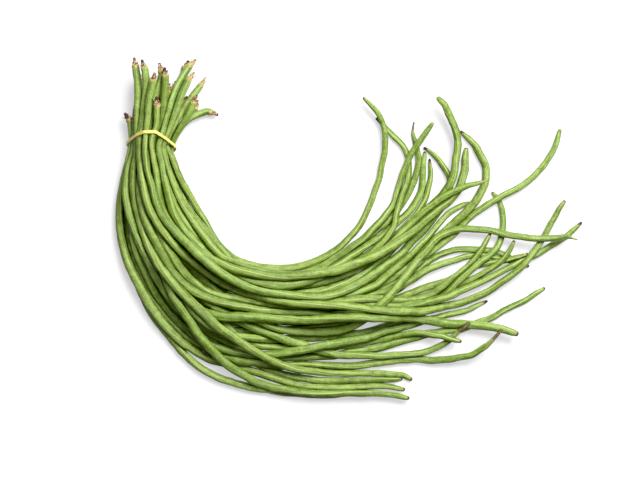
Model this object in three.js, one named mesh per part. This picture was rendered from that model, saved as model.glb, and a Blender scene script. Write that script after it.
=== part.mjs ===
// A bunch of yardlong beans lying on a table, tied near the stem ends with one rubber band.
// Millimetres, +Z up. Every bean is one solid: a shrivelled stem stub, the long pod and its beak.
// The beans start on hand-chosen routes and are then settled: they sink under their weight, keep
// clear of each other and of the table, and so lie over and under one another without touching.

import * as THREE from "three";

// ---- Driving dimensions ----

const GAP = 0.35;                  // clear space kept between neighbouring solids
const RING_SIDES = 6;              // sides of a pod's section; one side faces the table
const RING_STEP = 17;              // distance between the sections along a pod

const POD_DIAMETER = 7.7;          // a usual pod at its thickest
const TIED_DIAMETER = 5.7;         // every pod where the band holds it
const TIED_TAPER = 0.022;          // growth of its radius away from there, per millimetre

// Sections stand closer at both ends: their distances from the stub's end and from the beak's.
const STUB_STATIONS = [0, 5.5, 8, 12];
const BEAK_STATIONS = [24, 12, 4, 0];
// Pod radius as a share of half its diameter: [distance from the stem stub's end, share]
const STEM_END_SHAPE = [[0, 0.24], [5.5, 0.36], [8, 0.64], [12, 0.92], [30, 0.95], [160, 1]];
// and towards the beak: [distance from the beak's end, share]
const BEAK_SHAPES = {
  usual: [[0, 0.22], [4, 0.46], [12, 0.64], [24, 0.74], [60, 0.82], [130, 0.91], [200, 1]],
  plump: [[0, 0.28], [4, 0.64], [12, 0.84], [24, 0.92], [60, 0.94], [130, 0.96], [200, 1]],
};

const SLOT_PITCH = TIED_DIAMETER + 0.3;          // neighbours side by side under the band
const ROW_RISE = SLOT_PITCH * Math.sqrt(3) / 2;  // from one packed row to the next
const SLOTS_IN_ROW = [5, 6, 7, 6, 5, 4, 2];      // from the table up
const LEVEL_RISE = ROW_RISE;                     // what one level stands for in the routes

const BAND_WIDTH = 3.2;
const BAND_THICKNESS = 1.1;
const BAND_LEAN = 0.44;            // radians that the band leans from upright, top to the stem ends
const BAND_TWIST = -0.09;          // radians that its right side trails away from the stem ends
const BAND_CORNERS = 44;           // corners of the closed loop
const BAND_MIDDLE = [0.5, 2, 21];  // middle of the loop
const BAND_GAP = 0.4;              // clear space between the band and the beans
const BAND_REACH = 40;             // the band stays nearer than this to the bunch's middle
const LOOKS_PER_STEP = 8;          // places looked at in each step of a bean for the band's fit

const TABLE_CONTACT = 0.3;         // corners nearer than this to the table lie on it

const POD_COLOURS = ["#5f8f3c", "#6a9a43", "#55863a", "#74a04a"];
const BAND_COLOUR = "#d9cf7a";

// ---- How the beans settle ----

const SINKING = [
  // a bean's fall per round, and for how many rounds
  { fall: 0.4, rounds: 120 },
  { fall: 0.15, rounds: 160 },
  { fall: 0.05, rounds: 220 },
  { fall: 0.015, rounds: 260 },
];
const STIFFNESS = 0.15;            // how much of a kink a bean takes out of itself in a round
const HOLD = 0.008;                // how far beans return to their routes in a round, per level
const END_HOLD = 4;                // the ends return this much more
const STEM_REACH = 60;             // length of the stem end that is held so
const BEAK_REACH = 160;            // and of the beak's end
const RAISED_HOLD = 0.3;           // how far a raised end returns to its own height in a round
const TIE_HOLD = 0.25;             // the same for their slots under the band
const TIE_REACH = 14;              // half the length over which the band orders the beans
const TIED_LENGTH = 160;           // the band lies nearer than this to every bean's stem end
const END_STEPS = 3;               // short steps at each end of a bean
const END_SLOPE = 0.6;             // how far its ends follow the bend before them
const NEAR = 6;                    // neighbours further apart than this are left out for a while
const ROUNDS_PER_LOOK = 10;        // rounds between two searches for neighbours
const TIDY_ROUNDS = 3000;          // most rounds of clearing the last overlaps
const CLEAR_ENOUGH = 1e-3;         // an overlap smaller than this is let stand, inside the gap
const PARALLEL = 1e-9;             // stretches whose directions spread less count as parallel
const UP_STEP = 1e-3;            // a push with no height is given this much upward
const FACET = Math.cos(Math.PI / RING_SIDES);  // a section's height over its lower side, per radius
const BAND_LIFT = BAND_THICKNESS + BAND_GAP + GAP;  // room under the beans where the band passes
const BAND_FOOT = BAND_MIDDLE[1] - BAND_MIDDLE[2] * Math.tan(BAND_LEAN);

// ---- The beans ----
// girth: thickness as a share of a usual pod's. tip: shape towards the beak, where not the usual.
// raised: length of the beak's end that keeps its own height, where the pod curls up.
// slot: packed row under the band, counted from the table, and place in that row from the left.
// stem, pod: points [x, y, level] in the plan, from the stub to the band and from the band to the
// beak, measured from the bunch's middle under the band. x is to the right, y is towards the stem
// ends, and level is how many beans lie beneath.

const BEANS = [
  {
    girth: 1,
    slot: [6, 0],
    stem: [[6, 71, 5.4], [3, 57, 5.6], [0, 41, 5.8], [-1, 23, 6]],
    pod: [
      [-2, -21, 5.6], [3, -39, 4.8], [8, -57, 4.4], [15, -73, 4.2], [27, -87, 4], [41, -101, 4],
      [57, -115, 4], [76, -129, 4], [96, -140, 3.8], [116, -146, 3.6], [136, -150, 3.4],
      [156, -152, 3], [176, -152, 2.8], [196, -146, 2.8], [216, -135, 2.8], [236, -121, 2.8],
      [255, -105, 2.6], [270, -90, 2], [283, -75, 1.4], [294, -60, 1], [301, -46, 0.8],
      [300, -31, 0.8], [291, -17, 0.6], [282, -8, 0.6], [274, -2, 0.8],
    ],
  },
  {
    girth: 1.08,
    tip: "plump",
    slot: [6, 1],
    stem: [[8, 47, 5.4], [9, 35, 5.7], [8, 19, 5.9]],
    pod: [
      [6, -19, 5.4], [9, -37, 4.6], [10, -53, 4.2], [13, -66, 4], [22, -80, 3.8], [35, -95, 3.6],
      [51, -109, 3.6], [69, -119, 3.6], [91, -126, 3.4], [116, -130, 3.2], [141, -132, 3.2],
      [165, -130, 3.4], [185, -126, 3.2], [205, -119, 3.2], [225, -110, 3.2], [245, -99, 3],
      [262, -88, 2.6], [278, -74, 2.2], [293, -61, 2], [306, -48, 1.2], [314, -33, 0.6],
      [316, -17, 0.6], [317, -2, 0.8],
    ],
  },
  {
    girth: 0.96,
    slot: [5, 0],
    stem: [[-7, 84, 4.6], [-2, 67, 4.8], [-2, 50, 5], [-5, 31, 5]],
    pod: [
      [-9, -20, 4.9], [-6, -37, 4.6], [-2, -54, 4.3], [3, -68, 4], [11, -83, 3.6], [23, -98, 3.2],
      [38, -112, 3], [56, -126, 2.8], [76, -139, 2.6], [96, -147, 2.4], [117, -152, 2.6],
      [142, -157, 2.8], [170, -159, 3], [200, -161, 3], [225, -164, 3], [250, -165, 3],
      [280, -163, 2.6], [305, -159, 2], [330, -151, 1.5], [355, -136, 1.2], [377, -116, 1.6],
      [391, -98, 1.2], [401, -80, 0.6], [410, -65, 0.3], [417, -55, 0.3],
    ],
  },
  {
    girth: 0.98,
    slot: [5, 1],
    stem: [[10, 81, 4.6], [13, 68, 4.6], [8, 53, 4.7], [3, 39, 4.8], [1, 23, 4.9]],
    pod: [
      [0, -17, 4.6], [-2, -35, 4], [-2, -51, 3.6], [0, -65, 3.2], [3, -77, 2.8], [9, -91, 2.4],
      [17, -107, 2.2], [27, -123, 2.1], [41, -137, 2.1], [57, -148, 2], [77, -154, 2],
      [100, -156, 1.8], [125, -158, 1.6], [150, -159, 1.4], [175, -159, 1.2], [200, -159, 1],
      [225, -160, 1], [248, -161, 1.3], [268, -157, 1.8], [288, -148, 2.2], [305, -134, 2.2],
      [320, -120, 2], [331, -106, 1.8], [337, -96, 1.4], [341, -88, 1],
    ],
  },
  {
    girth: 0.96,
    slot: [5, 2],
    stem: [[16, 76, 4.2], [17, 65, 4.3], [17, 53, 4.5], [14, 38, 4.7], [10, 23, 4.9]],
    pod: [
      [6, -17, 4.4], [7, -35, 3.8], [8, -50, 3.2], [10, -65, 2.8], [17, -80, 2.5], [27, -96, 2.3],
      [41, -112, 2.1], [57, -126, 2], [76, -139, 1.9], [97, -150, 1.7], [118, -158, 1.5],
      [140, -162, 1.4], [165, -163, 1.2], [190, -164, 1], [215, -164, 1], [240, -164, 1.2],
      [262, -161, 1.3], [285, -155, 1.3], [307, -147, 1.2], [330, -136, 1], [350, -126, 0.8],
      [372, -116, 0.6], [395, -105, 0.5], [415, -93, 0.4], [427, -83, 0.4], [434, -77, 0.5],
    ],
  },
  {
    girth: 1,
    slot: [5, 3],
    stem: [
      [46, 87, 4.4], [38, 78, 4.4], [30, 65, 4.5], [23, 48, 4.7], [18, 31, 4.9], [14, 15, 5],
    ],
    pod: [
      [11, -15, 4.6], [13, -30, 4.2], [17, -45, 3.8], [20, -58, 3.6], [24, -71, 3.4], [31, -84, 3.1],
      [43, -97, 2.9], [59, -111, 2.5], [76, -122, 2.2], [93, -131, 2], [111, -137, 2], [132, -140, 2],
      [152, -138, 2], [172, -129, 2], [190, -119, 2.2], [206, -109, 2], [222, -99, 1.8],
      [238, -88, 1.6], [252, -76, 1.6], [263, -64, 1.4], [271, -50, 1], [274, -35, 0.6],
      [274, -19, 0.5], [276, -5, 0.5],
    ],
  },
  {
    girth: 1.02,
    slot: [4, 0],
    stem: [[-15, 87, 3.8], [-13, 73, 3.9], [-11, 53, 4], [-12, 33, 4]],
    pod: [
      [-17, -21, 4], [-18, -37, 4.2], [-17, -53, 4.2], [-13, -68, 4.2], [-7, -83, 4.1], [0, -98, 4],
      [8, -113, 3.8], [18, -128, 3.6], [30, -143, 3.4], [44, -158, 3.2], [58, -172, 3.1],
      [74, -186, 3], [92, -198, 3], [112, -210, 2.8], [132, -220, 2.4], [154, -225, 2],
      [180, -228, 1.6], [205, -229, 1.2], [228, -231, 0.7], [248, -234, 0.3], [263, -239, 0.1],
    ],
  },
  {
    girth: 1,
    slot: [4, 1],
    stem: [[2, 63, 3.6], [1, 47, 3.8], [-1, 31, 4]],
    pod: [
      [-7, -21, 3.7], [-10, -38, 3.5], [-8, -54, 3.3], [-4, -69, 3.1], [1, -84, 2.9], [7, -99, 2.7],
      [14, -114, 2.5], [23, -128, 2.4], [35, -139, 2.4], [49, -148, 2.4], [65, -154, 2.4],
      [86, -159, 2.2], [108, -164, 2], [132, -167, 1.8], [156, -167, 1.6], [180, -168, 1.4],
      [205, -167, 1.2], [230, -167, 1], [252, -166, 1], [272, -160, 1], [290, -151, 0.8],
      [302, -144, 0.7], [311, -138, 0.8],
    ],
  },
  {
    girth: 1,
    slot: [4, 2],
    stem: [[19, 44, 5], [16, 32, 4.8], [11, 19, 4.4]],
    pod: [
      [-1, -19, 3.5], [-3, -35, 3], [-3, -52, 2.6], [-1, -69, 2.5], [2, -85, 2.6], [6, -101, 2.7],
      [11, -115, 2.8], [17, -129, 3], [22, -143, 3.3], [31, -158, 3.4], [40, -173, 3.4],
      [48, -188, 3.2], [59, -202, 3], [73, -215, 2.6], [90, -228, 2.1], [110, -239, 1.7],
      [135, -246, 1.5], [165, -249, 1.3], [200, -249, 1], [228, -249, 0.6], [246, -251, 0.3],
      [260, -254, 0.2],
    ],
  },
  {
    girth: 1,
    raised: 110,
    tip: "plump",
    slot: [4, 3],
    stem: [[37, 86, 3.7], [32, 75, 3.7], [28, 61, 3.8], [23, 45, 3.9], [18, 28, 4]],
    pod: [
      [12, -19, 3.2], [16, -35, 2.8], [20, -51, 2.5], [26, -66, 2.2], [35, -81, 2], [47, -96, 1.9],
      [61, -110, 1.8], [76, -122, 1.8], [91, -132, 2], [107, -142, 2.2], [126, -147, 1.8],
      [150, -148, 1.5], [172, -144, 1.4], [192, -138, 1.4], [208, -131, 1.4], [222, -120, 1.2],
      [234, -107, 1.2], [246, -93, 1.3], [258, -80, 1.6], [270, -68, 1.9], [283, -58, 2],
      [296, -46, 2.1], [303, -31, 2], [307, -13, 1.8], [308, 4, 1.8], [303, 23, 2.2], [296, 38, 2.8],
      [287, 48, 3.2],
    ],
  },
  {
    girth: 0.94,
    slot: [4, 4],
    stem: [[45, 73, 3.6], [37, 63, 3.7], [30, 50, 3.8], [24, 36, 3.9], [19, 21, 4]],
    pod: [
      [16, -17, 3.9], [21, -34, 3.7], [28, -50, 3.5], [37, -67, 3.3], [48, -83, 3.3], [59, -99, 3.3],
      [72, -114, 3.2], [90, -124, 2.8], [112, -131, 2.4], [135, -132, 2.4], [158, -128, 2.4],
      [180, -118, 2.2], [200, -105, 2], [218, -91, 1.8], [234, -74, 1.6], [246, -58, 1.6],
      [252, -41, 1.2], [256, -25, 1.2], [262, -10, 1.2], [270, 5, 1], [278, 16, 0.8], [283, 23, 0.8],
    ],
  },
  {
    girth: 0.98,
    slot: [3, 0],
    stem: [[-9, 57, 2.4], [-11, 42, 2.6], [-14, 25, 2.9]],
    pod: [
      [-20, -18, 2.8], [-22, -33, 2.6], [-21, -50, 2.4], [-19, -66, 2.2], [-15, -81, 2.1],
      [-10, -97, 2], [-3, -112, 2], [5, -128, 2], [14, -144, 1.8], [25, -157, 1.4], [39, -169, 1.2],
      [54, -180, 1.1], [71, -192, 1], [89, -203, 0.9], [107, -210, 0.6], [130, -213, 0.6],
      [155, -212, 0.6], [180, -210, 0.6], [202, -206, 0.7], [225, -202, 0.8], [248, -196, 0.8],
      [268, -191, 0.6], [290, -186, 0.6], [313, -182, 0.6], [335, -175, 0.5], [355, -166, 0.4],
      [376, -156, 0.4], [397, -144, 0.6],
    ],
  },
  {
    girth: 1.07,
    tip: "plump",
    slot: [3, 1],
    stem: [[-3, 55, 2.8], [-3, 39, 2.9], [-5, 23, 3]],
    pod: [
      [-6, -19, 2.6], [-5, -37, 2.2], [-3, -55, 2], [1, -72, 1.9], [6, -89, 1.8], [13, -106, 1.8],
      [21, -122, 1.8], [31, -138, 1.9], [43, -153, 2], [58, -163, 2.2], [76, -168, 2.2],
      [99, -171, 2.2], [123, -174, 2.3], [150, -175, 2.5], [180, -173, 2.6], [210, -171, 2.6],
      [235, -171, 2.6], [258, -172, 2.4], [278, -176, 2.1], [298, -181, 1.8], [320, -184, 1.5],
      [342, -185, 1], [358, -187, 0.5], [369, -191, 0.3],
    ],
  },
  {
    girth: 0.95,
    slot: [3, 2],
    stem: [[21, 61, 3], [17, 47, 3], [11, 31, 3]],
    pod: [
      [1, -19, 2.6], [2, -37, 2.3], [5, -54, 2], [10, -70, 1.8], [17, -85, 1.6], [27, -101, 1.4],
      [39, -117, 1.2], [53, -133, 1.1], [69, -148, 1], [86, -161, 1], [104, -172, 1], [123, -181, 1.2],
      [144, -186, 1.3], [165, -187, 1.4], [185, -186, 1.4], [202, -181, 1.5], [217, -172, 1.8],
      [230, -160, 2.2], [241, -149, 2.4], [252, -136, 2.5], [262, -122, 2.6], [274, -109, 2.5],
      [286, -94, 2.4], [302, -86, 2.3], [322, -84, 2], [345, -87, 1.9], [370, -92, 1.6],
      [395, -94, 1.4], [418, -93, 0.9], [428, -95, 0.7],
    ],
  },
  {
    girth: 0.95,
    slot: [3, 3],
    stem: [[29, 63, 2.8], [24, 48, 2.9], [17, 31, 3]],
    pod: [
      [8, -19, 2.5], [10, -37, 2.1], [13, -55, 1.8], [20, -72, 1.5], [31, -88, 1.4], [45, -104, 1.3],
      [61, -118, 1.2], [79, -130, 1.1], [99, -140, 1.1], [120, -149, 1.1], [142, -155, 1.3],
      [165, -157, 1.6], [188, -155, 2], [208, -149, 2.2], [228, -139, 2.2], [246, -124, 2.1],
      [260, -111, 1.9], [273, -98, 1.6], [287, -81, 1.1], [302, -66, 0.8], [315, -60, 0.6],
      [324, -58, 0.6],
    ],
  },
  {
    girth: 0.9,
    slot: [3, 4],
    stem: [[34, 60, 2.4], [28, 47, 2.7], [21, 31, 3]],
    pod: [
      [13, -19, 2.3], [15, -36, 1.8], [18, -54, 1.3], [24, -74, 0.9], [34, -92, 0.7], [48, -109, 0.6],
      [65, -122, 0.6], [86, -131, 0.6], [109, -135, 0.6], [132, -136, 0.7], [156, -132, 0.8],
      [178, -122, 1], [195, -117, 1.1], [208, -112, 1.3], [222, -103, 1.6], [234, -95, 1.9],
      [242, -85, 2.2], [246, -71, 2.4], [248, -59, 2], [252, -45, 1.4], [257, -30, 0.9],
      [258, -18, 0.8], [256, -7, 0.8], [250, 4, 1], [241, 13, 1.1], [234, 21, 1.2], [227, 28, 1.4],
    ],
  },
  {
    girth: 0.86,
    raised: 80,
    slot: [3, 5],
    stem: [[55, 69, 2.6], [49, 59, 2.7], [41, 47, 2.8], [32, 32, 2.9], [25, 17, 3]],
    pod: [
      [22, -13, 2.9], [26, -25, 2.8], [32, -40, 2.7], [39, -55, 2.6], [47, -70, 2.4], [56, -85, 2.2],
      [66, -99, 2.2], [79, -112, 2], [95, -122, 1.8], [115, -129, 1.6], [138, -129, 1.6],
      [160, -124, 1.4], [180, -113, 1.2], [196, -98, 0.8], [208, -83, 0.6], [217, -67, 0.6],
      [223, -53, 0.6], [229, -35, 0.6], [233, -15, 0.8], [235, 3, 1], [234, 21, 1.2], [227, 35, 1.4],
      [213, 48, 1.8],
    ],
  },
  {
    girth: 1.02,
    slot: [2, 0],
    stem: [[-25, 32, 1.8], [-21, 27, 1.9], [-18, 18, 2]],
    pod: [
      [-23, -18, 1.9], [-27, -35, 1.5], [-29, -55, 1.2], [-29, -76, 1], [-26, -97, 0.8],
      [-20, -116, 0.7], [-12, -134, 0.8], [-4, -152, 0.9], [5, -168, 1], [16, -182, 1.1],
      [29, -195, 1.1], [44, -205, 1.1], [60, -212, 0.9], [78, -217, 0.8], [96, -222, 0.8],
      [112, -228, 0.8], [130, -235, 1], [150, -241, 1.2], [170, -244, 1], [195, -244, 0.8],
      [220, -243, 0.5], [241, -243, 0.2], [256, -246, 0.1],
    ],
  },
  {
    girth: 0.97,
    slot: [2, 1],
    stem: [[-9, 71, 1.8], [-9, 53, 1.9], [-10, 33, 2]],
    pod: [
      [-14, -21, 1.7], [-17, -41, 1.3], [-19, -63, 1], [-17, -85, 1], [-13, -103, 1], [-6, -119, 1],
      [1, -135, 1.1], [10, -150, 1.2], [22, -166, 1.2], [36, -182, 1.2], [50, -196, 1.1],
      [67, -206, 1], [86, -210, 1.2], [106, -212, 1.2], [130, -209, 1.6], [150, -205, 1.9],
      [170, -201, 2], [195, -197, 2], [220, -192, 2], [240, -186, 2], [260, -182, 1.8],
      [282, -175, 1.3], [302, -170, 0.9], [322, -163, 0.6], [339, -156, 0.5],
    ],
  },
  {
    girth: 0.97,
    raised: 80,
    slot: [2, 2],
    stem: [[8, 59, 2], [6, 43, 2], [2, 25, 2]],
    pod: [
      [-4, -21, 1.8], [-3, -39, 1.6], [-1, -56, 1.4], [3, -73, 1.3], [8, -90, 1.2], [14, -107, 1.1],
      [22, -124, 1.1], [33, -141, 1.2], [47, -156, 1.3], [63, -169, 1.4], [81, -177, 1.3],
      [101, -184, 1.3], [122, -191, 1.4], [143, -198, 1.4], [162, -204, 1.1], [182, -209, 1],
      [206, -211, 0.9], [230, -211, 0.7], [252, -210, 0.7], [275, -207, 0.8], [293, -200, 0.8],
      [303, -193, 1.2], [311, -185, 2.3], [319, -178, 3],
    ],
  },
  {
    girth: 0.93,
    slot: [2, 3],
    stem: [[15, 59, 1.9], [11, 43, 2], [6, 25, 2]],
    pod: [
      [-2, -21, 1.6], [-4, -39, 1.2], [-6, -57, 0.9], [-5, -76, 0.7], [-1, -95, 0.6], [5, -115, 0.6],
      [14, -134, 0.6], [27, -152, 0.7], [43, -167, 0.8], [61, -180, 0.9], [80, -189, 1.2],
      [100, -192, 1.3], [122, -195, 1.2], [145, -194, 0.9], [168, -193, 0.8], [190, -191, 0.8],
      [212, -190, 0.8], [234, -185, 0.7], [253, -178, 0.6], [270, -168, 0.5], [286, -156, 0.6],
      [300, -144, 0.8], [314, -130, 1], [330, -118, 1], [343, -107, 0.9], [352, -95, 0.6],
      [354, -77, 0.5], [353, -61, 0.5], [348, -52, 0.5], [343, -47, 0.6],
    ],
  },
  {
    girth: 0.95,
    slot: [2, 4],
    stem: [[7, 41, 1.9], [7, 25, 2]],
    pod: [
      [7, -21, 1.3], [8, -41, 0.8], [11, -62, 0.4], [17, -80, 0.2], [28, -97, 0.1], [42, -113, 0.1],
      [60, -127, 0.1], [83, -137, 0.1], [106, -142, 0.1], [128, -144, 0.1], [150, -142, 0.2],
      [172, -135, 0.4], [194, -126, 0.6], [214, -116, 0.8], [232, -104, 1], [248, -91, 1],
      [261, -79, 1], [271, -66, 1], [277, -51, 0.8], [280, -35, 0.6], [280, -21, 0.5], [279, -12, 0.6],
    ],
  },
  {
    girth: 0.92,
    slot: [2, 5],
    stem: [[68, 30, 1.4], [60, 33, 1.5], [50, 33, 1.6], [41, 25, 1.8], [31, 14, 2]],
    pod: [
      [21, -19, 1.7], [24, -37, 1.4], [30, -56, 1.2], [39, -74, 1], [50, -91, 0.9], [64, -107, 0.8],
      [80, -121, 0.8], [99, -132, 0.8], [120, -140, 0.6], [143, -147, 0.7], [168, -152, 0.9],
      [190, -157, 1.2], [210, -155, 1.3], [228, -147, 1.4], [245, -134, 1.4], [260, -121, 1.2],
      [275, -109, 1.1], [290, -98, 1.1], [305, -86, 1.1], [318, -72, 1.3], [334, -61, 1.5],
      [352, -51, 1.4], [370, -42, 1.1], [387, -29, 0.9], [400, -12, 0.8], [408, 3, 0.9],
      [412, 17, 1.1],
    ],
  },
  {
    girth: 0.96,
    slot: [2, 6],
    stem: [[47, 51, 1.9], [43, 41, 2], [36, 29, 2], [29, 16, 2]],
    pod: [
      [22, -15, 2], [23, -31, 1.8], [27, -48, 1.6], [35, -66, 1.4], [46, -84, 1.3], [60, -101, 1.2],
      [76, -115, 1.2], [95, -127, 1.2], [116, -136, 1.2], [138, -142, 1.1], [158, -143, 1.2],
      [180, -139, 1.4], [198, -131, 1.6], [216, -120, 1.8], [232, -107, 1.9], [246, -92, 2],
      [260, -79, 2.2], [275, -66, 2.5], [290, -55, 2.7], [305, -45, 2.7], [320, -40, 2],
      [331, -38, 1.6], [339, -35, 1.5],
    ],
  },
  {
    girth: 0.97,
    raised: 90,
    slot: [1, 0],
    stem: [[1, 59, 1], [-3, 44, 1], [-8, 26, 1]],
    pod: [
      [-17, -21, 1], [-18, -41, 0.8], [-20, -61, 0.8], [-20, -80, 0.8], [-17, -101, 0.8],
      [-11, -123, 0.8], [-3, -143, 0.9], [7, -162, 1], [20, -179, 1], [36, -193, 1], [53, -202, 0.8],
      [72, -212, 0.6], [92, -217, 0.4], [112, -218, 0.4], [132, -222, 0.5], [150, -221, 0.6],
      [172, -221, 0.6], [195, -222, 0.6], [218, -220, 0.5], [240, -217, 0.3], [265, -215, 0.4],
      [290, -216, 0.7], [315, -212, 1.4], [332, -204, 2.4], [342, -195, 3.1], [352, -184, 3.5],
    ],
  },
  {
    girth: 0.94,
    slot: [1, 1],
    stem: [[-7, 57, 0.9], [-7, 41, 1], [-8, 24, 1]],
    pod: [
      [-11, -21, 0.7], [-14, -41, 0.4], [-14, -61, 0.2], [-12, -81, 0.1], [-7, -101, 0.1],
      [0, -120, 0.1], [10, -138, 0.1], [23, -156, 0.1], [39, -171, 0.1], [58, -180, 0.2],
      [79, -185, 0.3], [102, -186, 0.3], [126, -186, 0.3], [150, -184, 0.3], [174, -181, 0.3],
      [197, -176, 0.3], [219, -165, 0.4], [238, -155, 0.6], [255, -149, 0.8], [272, -144, 1],
      [290, -139, 1], [307, -132, 0.9], [323, -123, 0.6], [340, -117, 0.5], [358, -113, 0.4],
      [370, -109, 0.4], [379, -106, 0.5],
    ],
  },
  {
    girth: 0.95,
    slot: [1, 2],
    stem: [[14, 52, 1], [9, 35, 1], [4, 18, 1]],
    pod: [
      [-3, -21, 0.6], [-4, -41, 0.3], [-3, -61, 0.1], [0, -80, 0], [6, -98, 0], [14, -116, 0],
      [24, -132, 0], [38, -146, 0], [55, -157, 0.1], [75, -164, 0.2], [97, -167, 0.3],
      [120, -169, 0.3], [145, -169, 0.3], [170, -168, 0.3], [195, -166, 0.3], [220, -164, 0.3],
      [245, -162, 0.5], [268, -158, 0.6], [290, -153, 0.7], [312, -144, 0.8], [332, -131, 1],
      [347, -120, 1.1], [357, -108, 1.1], [362, -99, 0.8], [364, -93, 0.6],
    ],
  },
  {
    girth: 1,
    raised: 60,
    slot: [1, 3],
    stem: [[22, 51, 1], [16, 34, 1], [10, 17, 1]],
    pod: [
      [2, -21, 0.8], [0, -41, 0.5], [1, -60, 0.3], [5, -79, 0.2], [11, -98, 0.2], [19, -117, 0.2],
      [29, -135, 0.2], [42, -152, 0.3], [57, -168, 0.4], [73, -183, 0.6], [91, -195, 0.9],
      [110, -200, 1.1], [132, -202, 0.9], [155, -206, 0.7], [180, -205, 0.7], [202, -202, 0.7],
      [224, -198, 0.8], [245, -191, 0.9], [262, -188, 1.1], [280, -189, 1.5], [297, -193, 2.2],
      [312, -197, 2.4],
    ],
  },
  {
    girth: 0.92,
    slot: [1, 4],
    stem: [[37, 50, 1.9], [31, 37, 1.6], [24, 23, 1.2]],
    pod: [
      [14, -22, 0.7], [16, -40, 0.5], [20, -58, 0.3], [27, -77, 0.2], [37, -94, 0.2], [51, -110, 0.1],
      [69, -122, 0.1], [91, -129, 0.1], [115, -131, 0.2], [138, -129, 0.3], [160, -125, 0.4],
      [182, -115, 0.6], [200, -106, 0.9], [216, -96, 1], [230, -84, 1], [241, -74, 1], [250, -62, 1],
      [258, -49, 0.8], [265, -37, 0.7], [269, -23, 0.7], [270, -9, 0.7], [267, 5, 0.7], [265, 15, 0.8],
      [266, 24, 0.9],
    ],
  },
  {
    girth: 1,
    tip: "plump",
    slot: [1, 5],
    stem: [[50, 46, 1.2], [47, 36, 1.2], [39, 25, 1.1], [31, 13, 1]],
    pod: [
      [21, -21, 0.7], [21, -40, 0.5], [23, -60, 0.4], [29, -79, 0.3], [39, -97, 0.3], [53, -113, 0.3],
      [70, -127, 0.3], [91, -136, 0.2], [114, -142, 0.2], [138, -146, 0.3], [161, -147, 0.4],
      [182, -146, 0.5], [202, -144, 0.5], [222, -136, 0.6], [240, -126, 0.6], [257, -115, 0.6],
      [275, -104, 0.6], [292, -93, 0.6], [306, -79, 0.7], [318, -67, 0.8], [328, -54, 0.7],
      [336, -39, 0.8], [336, -20, 0.7], [330, -5, 0.8], [321, 5, 0.9], [311, 15, 1.1],
    ],
  },
  {
    girth: 0.95,
    slot: [0, 0],
    stem: [[-8, 27, 0], [-11, 13, 0]],
    pod: [
      [-14, -23, 0], [-15, -43, 0], [-17, -64, 0], [-17, -85, 0], [-15, -107, 0], [-12, -127, 0],
      [-8, -146, 0], [-1, -162, 0], [6, -175, 0], [17, -188, 0], [27, -200, 0], [36, -211, 0],
      [47, -221, 0], [60, -229, 0], [76, -236, 0], [98, -242, 0], [122, -246, 0], [148, -249, 0],
      [175, -250, 0], [200, -248, 0], [222, -246, 0], [241, -248, 0],
    ],
  },
  {
    girth: 0.98,
    slot: [0, 1],
    stem: [[-9, 47, 0], [-8, 31, 0], [-8, 15, 0]],
    pod: [
      [-12, -23, 0], [-15, -45, 0], [-15, -67, 0], [-11, -89, 0], [-3, -110, 0], [7, -130, 0],
      [21, -148, 0], [39, -163, 0], [60, -172, 0], [85, -175, 0], [110, -174, 0], [135, -170, 0],
      [159, -163, 0], [183, -156, 0], [208, -151, 0.2], [232, -146, 0.4], [249, -138, 0.7],
      [261, -132, 1],
    ],
  },
  {
    girth: 0.98,
    slot: [0, 2],
    stem: [[3, 49, 0], [1, 32, 0], [0, 15, 0]],
    pod: [
      [-6, -23, 0], [-11, -45, 0], [-13, -67, 0], [-11, -89, 0], [-5, -111, 0], [3, -131, 0],
      [13, -150, 0], [27, -168, 0], [44, -184, 0], [62, -198, 0], [81, -210, 0], [100, -218, 0],
      [119, -227, 0.1], [140, -233, 0.2], [165, -236, 0.3], [190, -238, 0.3], [215, -238, 0.2],
      [238, -236, 0.1], [254, -234, 0],
    ],
  },
  {
    girth: 0.94,
    slot: [0, 3],
    stem: [[-1, 37, 0], [0, 23, 0], [2, 11, 0]],
    pod: [
      [-1, -23, 0], [-4, -45, 0], [-3, -67, 0], [2, -89, 0], [10, -109, 0], [20, -128, 0],
      [33, -145, 0], [50, -159, 0], [71, -169, 0], [95, -174, 0], [120, -175, 0], [147, -172, 0],
      [172, -168, 0.1], [196, -162, 0.2], [218, -153, 0.3], [238, -141, 0.4], [255, -127, 0.5],
      [270, -116, 0.6], [286, -109, 0.6], [305, -105, 0.5], [326, -106, 0.5], [345, -110, 0.3],
      [360, -117, 0.2], [372, -124, 0.2], [380, -126, 0.2],
    ],
  },
  {
    girth: 0.95,
    slot: [0, 4],
    stem: [[31, 40, 1.6], [25, 27, 0.8], [16, 13, 0.2]],
    pod: [
      [8, -23, 0], [7, -43, 0], [9, -64, 0], [15, -84, 0], [25, -103, 0], [38, -120, 0],
      [55, -136, 0], [78, -148, 0], [104, -154, 0], [130, -157, 0], [153, -158, 0], [176, -158, 0],
      [199, -157, 0.1], [221, -153, 0.2], [242, -146, 0.3], [262, -134, 0.4], [282, -123, 0.5],
      [302, -116, 0.5], [321, -110, 0.4], [338, -109, 0.2], [352, -113, 0.1], [363, -115, 0.1],
    ],
  },];

// ---- Routes ----

function slotPoint([row, place]) {
  const middle = (SLOTS_IN_ROW[row] - 1) / 2;
  return [(place - middle) * SLOT_PITCH, 0, row];
}

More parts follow.
